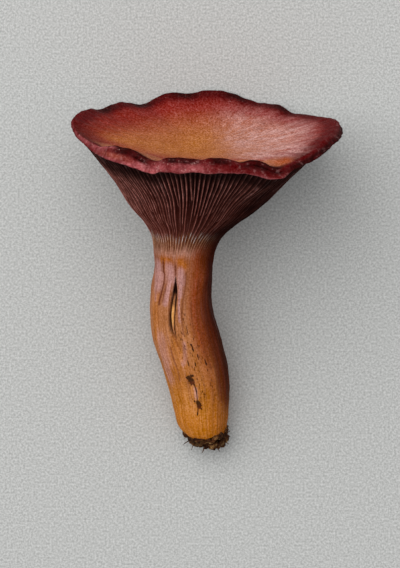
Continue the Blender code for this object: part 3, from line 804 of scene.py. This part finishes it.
def blot(angle, height, wide, tall):
    """A soft patch on the gills or the stem, in degrees and millimetres."""
    away = swing(turned, angle)
    return below_cap * np.exp(-(away / wide) ** 2 - ((level - height) / tall) ** 2)


print("strokes:", len(MAUVE_STROKES + OCHRE_STROKES + BROWN_LINES + FLECKS))

# %% Pigments of the split, and painted shade in its cuts
across, opening = split_across(level, turned)
wide_open = (opening > 0.3) & (across < 90)
strip = (0.25 + 0.75 * under(47.6, 1.6)) * np.exp(-((across - 0.12) / 0.37) ** 4)
# The near-black cuts and the gash on top are painted shade in the split's hollows.
left_cut_shade = bell((across + 0.7) / 0.36) * above(36, 3)
right_cut_shade = 0.95 * bell((across - 0.8) / 0.2)
gash = (np.abs(across) < 1.05) * (0.35 * above(46, 3) + 0.65 * above(50, 1.2))
mark("cream", wide_open * strip * under(50.2, 1.5) * above(39.5, 2.5))
mark("cut", wide_open * np.maximum(left_cut_shade, np.maximum(right_cut_shade, gash)))
print("pigments of the split:", skin_marks["cream"], skin_marks["cut"])

# %% Pigments of the stem and the gills, and painted shade on their right side and under the lip
mark("mauve", all_strokes(MAUVE_STROKES) + 0.3 * blot(90, 30, 50, 22))
mark("amber", all_strokes(OCHRE_STROKES) + below_cap * 0.9 * under(17, 12))
mark("bark", all_strokes(BROWN_LINES))
mark("fleck", all_strokes(FLECKS))
mark("sienna", 0.75 * all_strokes(UPPER_OCHRE_STROKES)
     + below_cap * sector(286, 350, 12) * under(70, 6) * (0.45 + 0.55 * above(24, 14)))
mark("pits", on_stem * 0.3 * above(8, 6) + 0.9 * blot(272, 40, 14, 10) + blot(283, 30, 20, 8)
     + 0.6 * blot(284, 21, 20, 8))
# Painted shade on the right side of the stem and the gills, turned away from the lamp.
mark("right_side_shade", below_cap * sector(312, 392, 17) * under(74, 4) * (0.4 + 0.6 * above(6, 14))
     + 0.6 * on_gills * sector(300, 385, 22) * above(68, 4))
mark("edge_shade", below_cap * (sector(330, 372, 9) * under(84, 10) * above(4, 14)
                                + 0.55 * sector(296, 372, 12) * under(78, 6) * above(56, 5)))
mark("shadow", on_gills * (above(93, 6) + 0.85 * sector(150, 246, 12) * above(89, 7)
                           + 0.33 * sector(150, 222, 16)
                           + above(60, 13) * (0.48 * sector(272, 400, 18)
                                              + 0.5 * sector(300, 400, 16))))
print("marks on the skin:", skin_marks)

# %% [markdown]
# ## The material of the flesh
# One material covers the whole mushroom, because it grew as one piece. A colour ramp along
# the section gives the ground colour, the pigments go over it one after another as washes
# of paint would, each broken up by noise, and a fine bump of streaks and grit makes the
# skin fibrous. Wiring so many nodes by hand is slow, so helpers add them, always to the
# material that was started last.


# %% Start a material, add nodes and fill their sockets
def new_material(name):
    """A material, its node tree, its shader and its Object coordinates."""
    material = bpy.data.materials.new(name)
    material.use_nodes = True
    nodes = material.node_tree.nodes
    on_object = nodes.new("ShaderNodeTexCoord").outputs["Object"]
    return material, material.node_tree, nodes["Principled BSDF"], on_object


def fill(socket, given):
    """Give a socket a value, or link it to what another node makes."""
    given = getattr(given, "socket", given)
    if isinstance(given, bpy.types.NodeSocket):
        tree.links.new(given, socket)
    else:
        socket.default_value = given


def put(kind, **sockets):
    """Add a node and fill its sockets by name, with _ for a blank."""
    node = tree.nodes.new(kind)
    for name, given in sockets.items():
        fill(node.inputs[name.replace("_", " ")], given)
    return node


flesh, tree, shader, on_object = new_material("mushroom_flesh_paint")
print("started:", flesh.name)


# %% Numbers that vary over the surface
class Amount:
    """A number on the surface. Each +, - and * with it adds one Math node."""

    def __init__(self, socket):
        self.socket = socket

    __add__ = __radd__ = lambda one, other: reckon("ADD", one, other)
    __mul__ = __rmul__ = lambda one, other: reckon("MULTIPLY", one, other)
    __sub__ = lambda one, other: reckon("SUBTRACT", one, other)
    __rsub__ = lambda one, other: reckon("SUBTRACT", other, one)


def reckon(operation, first, second):
    """One Math node over two numbers."""
    node = put("ShaderNodeMath")
    node.operation = operation
    fill(node.inputs[0], first)
    fill(node.inputs[1], second)
    return Amount(node.outputs[0])


def marked(name, output="Fac"):
    """Read one of the skin's marks."""
    node = put("ShaderNodeAttribute")
    node.attribute_name = name
    return Amount(node.outputs[output])


def spread(given, low, high):
    """Turn a number into 0 at low and 1 at high, whichever of the two is larger."""
    return Amount(put("ShaderNodeMapRange", Value=given, From_Min=low, From_Max=high).outputs[0])


def blend(first, second, share):
    """Go from one number to another."""
    node = put("ShaderNodeMix")
    for place, given in ((0, share), (2, first), (3, second)):
        fill(node.inputs[place], given)
    return Amount(node.outputs[0])


run = marked("run_along")
under_cap = marked("under_cap")
lip_zone = marked("lip_zone")
dish_zone = marked("dish_zone")
grain_place = marked("grain_at", "Vector")
print("marks read:", len(tree.nodes))


# %% Patterns: clouds and specks in place, streaks with the grain
def with_grain(fine_round, fine_along):
    """Coordinates that follow the flesh, with a fineness round it and one along it."""
    scale = (fine_round, fine_round, fine_along)
    return put("ShaderNodeMapping", Vector=grain_place, Scale=scale).outputs[0]


def mottle(vector, scale, low, high, detail, roughness):
    """Noise spread out to run from 0 to 1 between two of its values."""
    sockets = {"Vector": vector, "Scale": scale, "Detail": detail, "Roughness": roughness}
    return spread(put("ShaderNodeTexNoise", **sockets).outputs["Fac"], low, high)


def dots(vector, scale, size, kept):
    """Small spots in the cells of a pattern, of which only a share is kept."""
    cells = put("ShaderNodeTexVoronoi", Vector=vector, Scale=scale)
    chance = put("ShaderNodeSeparateColor", Color=cells.outputs["Color"]).outputs["Red"]
    return spread(cells.outputs["Distance"], size, size * 0.55) * spread(chance, kept, kept - 0.02)


clouds = mottle(on_object, 160.0, 0.35, 0.65, 6.0, 0.65)
blotches = mottle(on_object, 420.0, 0.45, 0.62, 5.0, 0.65)
lip_mottle = mottle(on_object, 520.0, 0.36, 0.64, 4.0, 0.6)
grit = mottle(on_object, 1800.0, 0.36, 0.64, 3.0, 0.6)
cap_streaks = mottle(with_grain(15, 1.5), 4.0, 0.32, 0.68, 5.0, 0.65)
stem_streaks = mottle(with_grain(3.2, 0.45), 4.0, 0.32, 0.68, 6.0, 0.72)
fine_streaks = mottle(with_grain(24, 1.6), 4.0, 0.3, 0.7, 4.0, 0.6)
dashes = mottle(with_grain(18, 1.5), 4.0, 0.42, 0.6, 3.0, 0.6)
rays = mottle(with_grain(3.6, 0.5), 4.0, 0.4, 0.62, 2.0, 0.5)
gill_fray = mottle(with_grain(6, 0.3), 4.0, 0.3, 0.7, 2.0, 0.5)
brown_fibres = mottle(with_grain(6, 0.6), 4.0, 0.5, 0.64, 3.0, 0.6)
streaks = blend(cap_streaks, stem_streaks, spread(run, 0.56, 0.60))
streaks = blend(streaks, lip_mottle, lip_zone)
print("nodes with the patterns:", len(tree.nodes))

# %% Ground colours along the section: place, red, green, blue
# The darkest stops, at the dish's very edge and at the lip's underside and the gills' tops under
# it, are painted shade.
GROUND = [
    (0, 169, 97, 51), (0.1, 168, 95, 57), (0.16, 162, 82, 54), (0.2, 136, 40, 36),
    (0.232, 102, 19, 21), (0.25, 68, 14, 13), (0.258, 100, 34, 34), (0.3, 106, 38, 38),
    (0.325, 92, 28, 28), (0.338, 48, 14, 12), (0.355, 36, 9, 7), (0.42, 64, 22, 17),
    (0.5, 90, 38, 30), (0.546, 112, 56, 46), (0.556, 116, 66, 50), (0.562, 168, 106, 76),
    (0.586, 174, 118, 92), (0.6, 186, 132, 112), (0.616, 158, 96, 64), (0.66, 156, 98, 68),
    (0.75, 172, 112, 72), (0.85, 173, 108, 58), (0.93, 192, 124, 58), (0.98, 196, 126, 52),
    (1, 130, 74, 30)]


def colour(red, green, blue):
    """A colour as it looks on a screen, turned into the linear one that shaders use."""
    return (*[((c / 255 + 0.055) / 1.055) ** 2.4 for c in (red, green, blue)], 1.0)


def ramp(factor, stops):
    """A colour ramp with colours at given places."""
    node = put("ShaderNodeValToRGB", Fac=factor)
    ends = node.color_ramp.elements
    for end, (where, *pigment) in ((0, stops[0]), (1, stops[-1])):
        ends[end].position = where
        ends[end].color = colour(*pigment)
    for where, *pigment in stops[1:-1]:
        ends.new(where).color = colour(*pigment)
    return node.outputs["Color"]


shifted_run = run + (gill_fray - 0.5) * 0.022 * under_cap
paint = ramp(shifted_run, GROUND)
print("ground colours:", len(GROUND))


# %% Washes over the gills, from their dark valleys to their pale tips
def wash(below, pigment, amount):
    """Lay a pigment, a colour or what a node makes, over what is below it."""
    node = put("ShaderNodeMix")
    node.data_type = "RGBA"
    node.clamp_factor = True
    fill(node.inputs["Factor"], amount)
    fill(node.inputs[6], below)
    fill(node.inputs[7], colour(*pigment) if isinstance(pigment, tuple) else pigment)
    return node.outputs[2]


edge = marked("gill_edge")
valley = 1.0 - edge
gills = under_cap * spread(shifted_run, 0.562, 0.552)
strands = spread(shifted_run, 0.556, 0.564) * spread(shifted_run, 0.606, 0.582)
tips = spread(shifted_run, 0.548, 0.555) * spread(shifted_run, 0.571, 0.565)
edge_light = edge * gills * (streaks + 0.3) * (blotches * 0.6 + 0.75)
paint = wash(paint, (32, 4, 2), valley * gills * spread(shifted_run, 0.62, 0.39))
paint = wash(paint, (192, 120, 108), edge_light * 0.95)
paint = wash(paint, (88, 40, 22), valley * strands * 0.8)
paint = wash(paint, (226, 170, 130), edge * strands)
paint = wash(paint, (246, 232, 226), edge * tips * marked("tip_light"))
print("nodes with the gills:", len(tree.nodes))

# %% Washes by the marks: colour, pattern, how much it adds, and the least amount
lilac_sheen_strokes = dashes * 0.5 + rays * 0.5
# Among these, the pale lilac wash is partly a painted sheen, the rose one partly a painted
# highlight and the wine red one partly painted shade; the near-black washes on the lip, the rim,
# the stem's right side and the gills are painted shade.
WASHES = [
    ("ochre", (180, 108, 50), clouds, 0.6, 0.45), ("rust", (134, 42, 31), dashes, 0.4, 0.6),
    ("lilac_and_sheen", (206, 158, 151), lilac_sheen_strokes, 0.93, 0.14),
    ("sand", (178, 112, 78), clouds, 0.4, 0.6), ("ember", (168, 76, 30), clouds, 0.6, 0.6),
    ("wine_red_and_shade", (88, 10, 12), clouds, 0.35, 0.8),
    ("rose_and_highlight", (164, 84, 86), clouds, 0.9, 0.35), ("blush", (154, 78, 62), clouds, 0.7, 0.4),
    ("lip_and_rim_shade", (40, 6, 5), clouds, 0.2, 0.95), ("sienna", (142, 58, 13), streaks, 0.6, 0.5),
    ("amber", (184, 108, 34), streaks, 0.5, 0.4), ("right_side_shade", (72, 20, 3), streaks, 0.4, 0.7),
    ("edge_shade", (40, 10, 5), streaks, 0.45, 0.5), ("shadow", (24, 4, 2), clouds, 0.2, 0.8),
]
# The near-black line is painted shade in the split's cuts.
LINES = [
    ("bark", (96, 40, 22), streaks, 0.3, 0.8), ("cream", (224, 162, 94), streaks, 0.3, 0.8),
    ("cut", (26, 5, 3), streaks, 0.3, 0.8),
]


def wash_by_marks(paint, table):
    """Lay a pigment for each row of a table, where its mark is and its pattern lets it."""
    for name, pigment, pattern, more, least in table:
        paint = wash(paint, pigment, marked(name) * (pattern * more + least))
    return paint


paint = wash_by_marks(paint, WASHES)
print("washes:", [row[0] for row in WASHES])

# %% Painted glints, specks, fibres, pits and flecks, and the lines and the split on top
# Pale dots on the lip are painted glints of its moist skin.
painted_glints = dots(on_object, 1500.0, 0.42, 0.4) * marked("painted_glints") * (blotches + 0.25)
specks = dots(on_object, 1900.0, 0.5, 0.45) * dish_zone
mauve = spread(marked("mauve") + (streaks - 0.5) * 0.6, 0.2, 0.85)
ragged = dots(with_grain(24, 28), 1.0, 0.5, 0.34) + dots(with_grain(15, 21), 1.0, 0.36, 0.14)
pits = ragged * marked("pits") * (dashes + 0.35)
pores = dots(on_object, 1700.0, 0.5, 0.5) * marked("wine_red_and_shade")
flecks = spread(marked("fleck") + grit * 0.5, 0.6, 0.85)
fleck_paint = ramp(clouds, [(0.55, 34, 14, 7), (1.0, 84, 22, 12)])
for pigment, amount in [
        ((78, 13, 15), blotches * lip_zone * 0.55), ((218, 166, 156), painted_glints * 0.7),
        ((104, 34, 24), specks * 0.38), ((186, 138, 134), mauve * 0.72),
        ((112, 52, 26), brown_fibres * spread(shifted_run, 0.61, 0.66) * 0.42),
        ((58, 20, 11), pits * 0.8), ((36, 5, 6), pores * 0.55), (fleck_paint, flecks * 0.92)]:
    paint = wash(paint, pigment, amount)
paint = wash_by_marks(paint, LINES)
print("nodes with all washes:", len(tree.nodes))


# %% Streaks and mottling in lightness, roughness and bump
def raise_bump(heights, strength, deepest=0.4 * MM):
    """Fine relief that only the light sees."""
    bump = put("ShaderNodeBump", Height=heights, Strength=strength, Distance=deepest)
    fill(shader.inputs["Normal"], bump.outputs[0])


def cover(piece, material):
    """Give a piece one material and smooth shading."""
    piece.data.materials.clear()
    piece.data.materials.append(material)
    piece.data.shade_smooth()


brightness = (streaks * 0.42 + grit * 0.34 + clouds * 0.16
              + (grit - 0.5) * dish_zone * 0.3 + 0.58)
richness = 1.3 - brightness * 0.28
toned = put("ShaderNodeHueSaturation", Color=paint, Value=brightness, Saturation=richness)
fill(shader.inputs["Base Color"], toned.outputs[0])
moist = put("ShaderNodeMapRange", Value=clouds, To_Min=0.5, To_Max=0.7)
fill(shader.inputs["Roughness"], moist.outputs[0])
raise_bump(blend(fine_streaks, lip_mottle, lip_zone) * 0.6 + grit * 0.4, 0.35)
fill(shader.inputs["Specular IOR Level"], 0.03)
cover(skin, flesh)
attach(skin, "root")
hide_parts("fruit_body")
print("flesh material nodes:", len(tree.nodes))

# %% [markdown]
# ## The soil clump
# Damp soil sticks to the foot in crumbs of every size, with thin roots in it. A heap of
# balls could stand for it, but soil has no clean balls, so crumbs are put together,
# remeshed into one skin, and roughened by noise.

# %% Crumbs round a core, and a collar of crumbs up the stem
soil_low, soil_high = [np.array(corner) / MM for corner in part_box("soil_clump")]
CLUMP_CENTRE = np.array([0.7, 0.0, -0.8])
CLUMP_HALF = np.array([6.6, 6.2, 3.5])
CORE_SIZE = 3.6
CORE_CRUMBS = 140
COLLAR_CRUMBS = 130
COLLAR_BOTTOM = -1.3
crumb_dice = np.random.default_rng(21)


def lay_one(point):
    """Where a point of the standing mushroom goes as it lies."""
    return lay_down(np.array([point]))[0] * fit + place


def beside_stem(out, height, angle):
    """A point so far out from the stem's bent centre line, as it stands."""
    return stand(np.array([out]), np.array([height]), np.array([angle]), np.array([height]))[0]


def add_crumb(centre, size):
    """One crumb: a small faceted ball, pulled out of round."""
    finer = 3 if size > 3 else 2
    where = lay_one(centre) * MM
    bpy.ops.mesh.primitive_ico_sphere_add(subdivisions=finer, radius=size * MM, location=where)
    crumb = bpy.context.object
    crumb.scale = crumb_dice.uniform(0.8, 1.1, 3)
    bpy.ops.object.transform_apply(location=True, rotation=True, scale=True)
    return crumb


def join(pieces):
    """Join pieces into the first one."""
    deselect_everything()
    for piece in pieces:
        piece.select_set(True)
    bpy.context.view_layer.objects.active = pieces[0]
    bpy.ops.object.join()
    return bpy.context.object


deselect_everything()
heap = [add_crumb(CLUMP_CENTRE, CORE_SIZE)]
for n in range(CORE_CRUMBS):
    way = crumb_dice.normal(size=3)
    way /= np.linalg.norm(way)
    spot = CLUMP_CENTRE + way * CLUMP_HALF * crumb_dice.uniform(0.6, 0.97)
    heap.append(add_crumb(spot, crumb_dice.uniform(0.5, 1.5)))
for n in range(COLLAR_CRUMBS):
    angle = crumb_dice.uniform(0, 360)
    top = 2.0 + 3.6 * bell(swing(angle, 345) / 26) + 1.2 * math.sin(math.radians(angle * 9))
    top -= 1.9 * bell((angle - 195) / 38)
    high = COLLAR_BOTTOM + (top - COLLAR_BOTTOM) * crumb_dice.random() ** 0.8
    spot = beside_stem(smooth(STEM, 1, high) + crumb_dice.uniform(0.0, 0.5), high, angle)
    heap.append(add_crumb(spot, crumb_dice.uniform(0.35, 1.05)))
soil = join(heap)
print("crumbs joined:", len(heap))

# %% One skin over the heap, roughened and kept inside the packed soil's box
fuse = soil.modifiers.new("Fuse", "REMESH")
fuse.mode = "VOXEL"
fuse.voxel_size = 0.22 * MM
bpy.ops.object.modifier_apply(modifier=fuse.name)
grains = read_vectors(soil.data.vertices) / MM
lumpy = [noise.noise(Vector(spot / 0.8)) * 0.35 + noise.noise(Vector(spot / 0.35)) * 0.18
         for spot in grains]
grains += read_vectors(soil.data.vertex_normals, "vector") * np.array(lumpy)[:, None]
move_points(soil.data, np.clip(grains, soil_low, soil_high))
print("roughened by up to", round(max(lumpy), 2), "mm")

# %% Keep the clump, and drop scraps that the box has pressed flat
deselect_everything()
soil.select_set(True)
edit_all()
bpy.ops.mesh.separate(type="LOOSE")
leave_edit()
scraps = sorted(bpy.context.selected_objects, key=lambda lump: len(lump.data.vertices))
soil = scraps.pop()
deselect_everything()
for scrap in scraps:
    scrap.select_set(True)
bpy.ops.object.delete()
soil.name = "soil_and_rootlets"
soil.data.name = "soil_and_rootlets"
print("vertices kept:", len(soil.data.vertices), "scraps dropped:", len(scraps))

# %% [markdown]
# Thin roots stick out of the soil. Each is a small ring of corners that is extruded along a
# curved way and made narrower at every step, as one would pull it out by hand.

# %% Rootlets: angle, height, length, rise, turn and thickness
ROOTS = [
    (350, 0.6, 4.2, 1, 25, 0.45), (338, -1.2, 3.8, -0.6, -30, 0.42),
    (300, -1.8, 2.8, -1.6, 30, 0.42), (262, -2, 2.4, -1.8, -30, 0.42),
    (226, -1.4, 3, -1.6, 25, 0.42), (203, -1, 3.6, -1.6, -25, 0.42),
    (184, -0.4, 3.4, -0.2, 20, 0.4), (18, -0.6, 4, -0.6, -30, 0.42), (160, -1, 3.2, -1.2, 30, 0.4)]
ROOT_RANGES = [(-40, 210), (-1.6, 2.4), (2.0, 3.6), (-1.2, 1.6), (-90, 90), (0.2, 0.34)]
RANDOM_ROOTS = 9
ROOT_START = 4.6
ROOT_STEPS = 9
NARROWER = 0.86


def lay_inside(point, thick):
    """Where a point of a root goes as it lies, kept its own thickness inside the soil's box."""
    return np.clip(lay_one(point), soil_low + thick, soil_high - thick)


def point_outwards():
    """Turn all faces of the piece in edit mode outwards, and leave edit mode."""
    bpy.ops.mesh.select_all(action="SELECT")
    bpy.ops.mesh.normals_make_consistent(inside=False)
    leave_edit()


def pull_root(angle, height, length, rise, turn, thick):
    """One root: a ring, extruded along its way and narrowed towards its tip."""
    heading = math.radians(angle)
    before = beside_stem(ROOT_START, height, angle)
    way = lay_one(before + np.array([math.cos(heading), math.sin(heading), 0.2])) - lay_one(before)
    bpy.ops.mesh.primitive_circle_add(
        vertices=6, radius=thick * MM, fill_type="NGON", location=lay_inside(before, thick) * MM,
        rotation=Vector(way).to_track_quat("Z", "Y").to_euler())
    root = bpy.context.object
    bpy.ops.object.transform_apply(location=True, rotation=True, scale=True)
    edit_all()
    for n in range(1, ROOT_STEPS + 1):
        along = n / ROOT_STEPS
        heading = math.radians(angle + turn * along ** 1.5)
        step = np.array([math.cos(heading), math.sin(heading), 2 * rise * along / length])
        after = before + length / ROOT_STEPS * step
        move = (lay_inside(after, thick) - lay_inside(before, thick)) * MM
        bpy.ops.mesh.extrude_region_move(TRANSFORM_OT_translate={"value": move})
        bpy.ops.transform.resize(value=(NARROWER, NARROWER, NARROWER))
        before = after
    point_outwards()
    return root


deselect_everything()
roots = [pull_root(*row) for row in ROOTS]
for n in range(RANDOM_ROOTS):
    roots.append(pull_root(*[crumb_dice.uniform(*limits) for limits in ROOT_RANGES]))
soil = join([soil] + roots)
grains = read_vectors(soil.data.vertices) / MM
print("soil box, mm:", grains.min(axis=0).round(2), grains.max(axis=0).round(2))
print("packed soil:", soil_low.round(2), soil_high.round(2))
move_points(soil.data, np.clip(grains, soil_low, soil_high))
edit_all()
point_outwards()

# %% Soil material: damp grains with darker patches
earth, tree, shader, on_object = new_material("damp_soil_grains")
grain_pattern = mottle(on_object, 700.0, 0.35, 0.65, 6.0, 0.7)
patches = mottle(on_object, 260.0, 0.4, 0.65, 4.0, 0.6)
paint = ramp(grain_pattern, [(0.0, 30, 11, 3), (0.45, 76, 40, 18), (0.78, 126, 88, 48),
                             (1.0, 184, 154, 108)])
paint = wash(paint, (30, 12, 4), patches * 0.8)
fill(shader.inputs["Base Color"], paint)
fill(shader.inputs["Roughness"], 0.75)
fill(shader.inputs["Specular IOR Level"], 0.08)
raise_bump(grain_pattern, 0.6)
cover(soil, earth)
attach(soil, "root")
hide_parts("soil_clump")
print("soil material nodes:", len(tree.nodes))

# %% [markdown]
# ## Table, light and camera
# A botanical study is lit softly from the upper left. One large lamp gives that, a pale
# sky fills the shadows, and the camera looks almost straight down from far away, so that
# the mushroom keeps its true proportions.

# %% Pale table
TABLE_SIDE = 3.0
deselect_everything()
bpy.ops.mesh.primitive_plane_add(size=TABLE_SIDE, location=(0, 0, 0))
table = bpy.context.object
table.name = "pale_table"
paper, tree, shader, on_object = new_material("pale_paper")
paper_grain = mottle(on_object, 1500.0, 0.32, 0.68, 3.0, 0.6)
fill(shader.inputs["Base Color"], ramp(paper_grain, [(0.0, 154, 154, 151), (1.0, 196, 196, 193)]))
fill(shader.inputs["Roughness"], 0.9)
table.data.materials.append(paper)
table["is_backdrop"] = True
print("table, m:", TABLE_SIDE)

# %% Soft light from the upper left, and a pale sky
LAMP_PLACE = Vector((-0.5, 0.45, 1.3))
LAMP_WIDTH = 1.9
LAMP_WATTS = 20.5
SKY_COLOUR = (0.95, 0.97, 1.0, 1.0)
SKY_STRENGTH = 0.6
deselect_everything()
bpy.ops.object.light_add(type="AREA", location=LAMP_PLACE)
lamp = bpy.context.object
lamp.name = "window_light"
lamp.data.shape = "DISK"
lamp.data.size = LAMP_WIDTH
lamp.data.energy = LAMP_WATTS
lamp.rotation_euler = (-LAMP_PLACE).to_track_quat("-Z", "Y").to_euler()
world = bpy.data.worlds.new("pale_sky")
bpy.context.scene.world = world
world.use_nodes = True
sky = world.node_tree.nodes["Background"]
fill(sky.inputs["Color"], SKY_COLOUR)
fill(sky.inputs["Strength"], SKY_STRENGTH)
print("lamp, m from the middle of the table:", round(LAMP_PLACE.length, 2))

# %% Camera above the mushroom
CAMERA_PLACE = (-0.00216, -0.0366, 0.93057)
CAMERA_TILT = math.radians(2)
bpy.ops.object.camera_add(location=CAMERA_PLACE, rotation=(CAMERA_TILT, 0, 0))
camera = bpy.context.object
camera.name = "camera_above"
camera.data.sensor_fit = "VERTICAL"
camera.data.sensor_height = 36.0
camera.data.lens = 180.0
camera.data.clip_end = 10.0
bpy.context.scene.camera = camera
bpy.context.scene.view_settings.view_transform = "Standard"
print("camera, m:", CAMERA_PLACE)

# %% The size of the visual model
low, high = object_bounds()
print("visual model, mm:", [round(side / MM, 2) for side in high - low])
